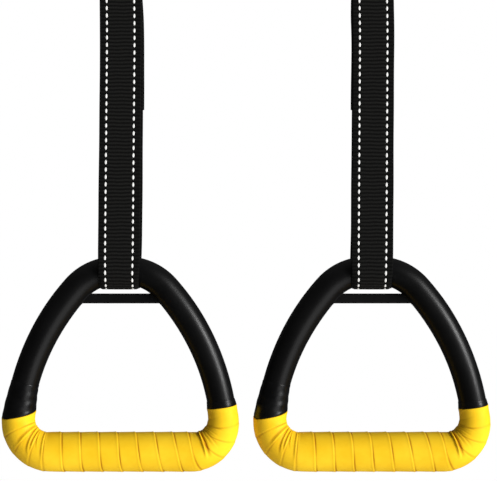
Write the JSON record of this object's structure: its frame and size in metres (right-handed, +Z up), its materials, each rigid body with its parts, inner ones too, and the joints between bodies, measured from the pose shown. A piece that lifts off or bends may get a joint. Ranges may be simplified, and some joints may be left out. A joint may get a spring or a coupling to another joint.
{
  "type": "gymnastics rings",
  "caption": "Hanging gymnastics rings: rounded triangular tube handles with taped grip bars, each on a webbing loop with a cam buckle, a swivel eye and a snap hook.",
  "frame": {"origin": "bearing land inside the top of the left hook, where whatever holds the pair touches it", "axes": "+Z up along the webbing, +X from the left unit to the right one, the user in front at -Y"},
  "size_m": [0.4487, 0.0582, 0.6531],
  "materials": {
    "black_coat": "fine textured black powder coat, satin",
    "webbing": "woven black polyester webbing with two white stitched lines",
    "yellow_tape": "soft yellow overgrip tape, satin",
    "black_tape": "black finishing tape, satin",
    "foam": "closed-cell foam under the tape",
    "zinc": "plated casting, satin",
    "steel": "zinc plated steel"
  },
  "bodies": {
    "left_hook": {"left_hook_body": "zinc", "left_latch_pin": "steel", "left_latch_spring": "steel"},
    "left_latch": {"left_latch": "zinc"},
    "left_swivel": {"left_swivel_eye": "zinc", "left_swivel_washer": "steel"},
    "left_strap": {"left_webbing": "webbing", "left_buckle_frame": "steel", "left_anchor_bar": "steel", "left_cam_axle": "steel", "left_cam_spring": "steel"},
    "left_cam": {"left_cam_lever": "zinc"},
    "left_handle": {"left_handle_tube": "black_coat", "left_tube_spigot": "steel", "left_cross_bar": "black_coat", "left_grip_pad": "foam", "left_grip_tape": "yellow_tape", "left_wide_band": "black_tape", "left_narrow_band": "black_tape"},
    "right_hook": {"right_hook_body": "zinc", "right_latch_pin": "steel", "right_latch_spring": "steel"},
    "right_latch": {"right_latch": "zinc"},
    "right_swivel": {"right_swivel_eye": "zinc", "right_swivel_washer": "steel"},
    "right_strap": {"right_webbing": "webbing", "right_buckle_frame": "steel", "right_anchor_bar": "steel", "right_cam_axle": "steel", "right_cam_spring": "steel"},
    "right_cam": {"right_cam_lever": "zinc"},
    "right_handle": {"right_handle_tube": "black_coat", "right_tube_spigot": "steel", "right_cross_bar": "black_coat", "right_grip_pad": "foam", "right_grip_tape": "yellow_tape", "right_wide_band": "black_tape", "right_narrow_band": "black_tape"}
  },
  "joints": [
    {"name": "spacing", "type": "slide", "parent": "left_hook", "child": "right_hook", "axis": [1, 0, 0], "range_m": [0, 0.27]},
    {"name": "left_latch_swing", "type": "hinge", "parent": "left_hook", "child": "left_latch", "pos_m": [-0.0155, 0, -0.037], "axis": [0, 1, 0], "range_deg": [0, 28], "stiffness_Nm_per_rad": 0.05, "springref_deg": -17.19},
    {"name": "left_swivel_turn", "type": "hinge", "parent": "left_hook", "child": "left_swivel", "pos_m": [0, 0, -0.056], "axis": [0, 0, 1], "continuous": true},
    {"name": "left_strap_swing", "type": "hinge", "parent": "left_swivel", "child": "left_strap", "pos_m": [0, 0, -0.097], "axis": [1, 0, 0], "range_deg": [-60, 60]},
    {"name": "left_cam_press", "type": "hinge", "parent": "left_strap", "child": "left_cam", "pos_m": [0, 0.0245, -0.183], "axis": [1, 0, 0], "range_deg": [0, 30], "stiffness_Nm_per_rad": 0.3, "springref_deg": -17.19},
    {"name": "left_handle_turn", "type": "hinge", "parent": "left_strap", "child": "left_handle", "pos_m": [0, 0, -0.459], "axis": [-1, 0, 0], "range_deg": [-90, 90]},
    {"name": "right_latch_swing", "type": "hinge", "parent": "right_hook", "child": "right_latch", "pos_m": [0.2158, 0, -0.037], "axis": [0, 1, 0], "range_deg": [0, 28], "stiffness_Nm_per_rad": 0.05, "springref_deg": -17.19},
    {"name": "right_swivel_turn", "type": "hinge", "parent": "right_hook", "child": "right_swivel", "pos_m": [0.2313, 0, -0.056], "axis": [0, 0, 1], "continuous": true},
    {"name": "right_strap_swing", "type": "hinge", "parent": "right_swivel", "child": "right_strap", "pos_m": [0.2313, 0, -0.097], "axis": [1, 0, 0], "range_deg": [-60, 60]},
    {"name": "right_cam_press", "type": "hinge", "parent": "right_strap", "child": "right_cam", "pos_m": [0.2313, 0.0245, -0.183], "axis": [1, 0, 0], "range_deg": [0, 30], "stiffness_Nm_per_rad": 0.3, "springref_deg": -17.19},
    {"name": "right_handle_turn", "type": "hinge", "parent": "right_strap", "child": "right_handle", "pos_m": [0.2313, 0, -0.459], "axis": [-1, 0, 0], "range_deg": [-90, 90]}
  ]
}
